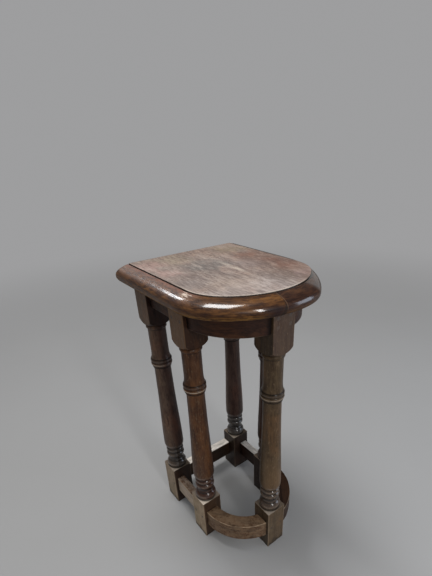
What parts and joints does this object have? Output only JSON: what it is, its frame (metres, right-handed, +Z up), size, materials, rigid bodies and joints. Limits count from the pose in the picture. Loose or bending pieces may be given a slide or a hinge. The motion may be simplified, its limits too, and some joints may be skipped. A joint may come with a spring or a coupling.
{
  "type": "joint stool",
  "caption": "Tall oak joint stool with a D-shaped thumb-moulded seat on turned legs, tied by straight and bowed aprons and stretchers.",
  "frame": {"origin": "on the floor, under the middle of the seat's outline", "axes": "+Z up; +Y towards the straight back edge of the seat, -Y towards the bowed front; +X to the right when facing +Y"},
  "size_m": [0.286, 0.319, 0.6],
  "materials": {
    "seat_oak": "waxed, worn",
    "leg_oak": "waxed, semi-gloss",
    "apron_oak": "waxed, satin",
    "stretcher_oak": "scuffed, satin",
    "peg_oak": "waxed, satin",
    "glue_block_pine": "bare, aged"
  },
  "bodies": {
    "root": {"seat_board_left": "seat_oak", "seat_board_right": "seat_oak", "leg_back_left": "leg_oak", "leg_back_right": "leg_oak", "leg_shoulder_left": "leg_oak", "leg_shoulder_right": "leg_oak", "leg_front": "leg_oak", "apron_back": "apron_oak", "apron_side_left": "apron_oak", "apron_side_right": "apron_oak", "apron_front_left": "apron_oak", "apron_front_right": "apron_oak", "stretcher_back": "stretcher_oak", "stretcher_side_left": "stretcher_oak", "stretcher_side_right": "stretcher_oak", "stretcher_front_left": "stretcher_oak", "stretcher_front_right": "stretcher_oak", "apron_pegs": "peg_oak", "stretcher_pegs": "peg_oak", "glue_blocks": "glue_block_pine"}
  },
  "joints": []
}
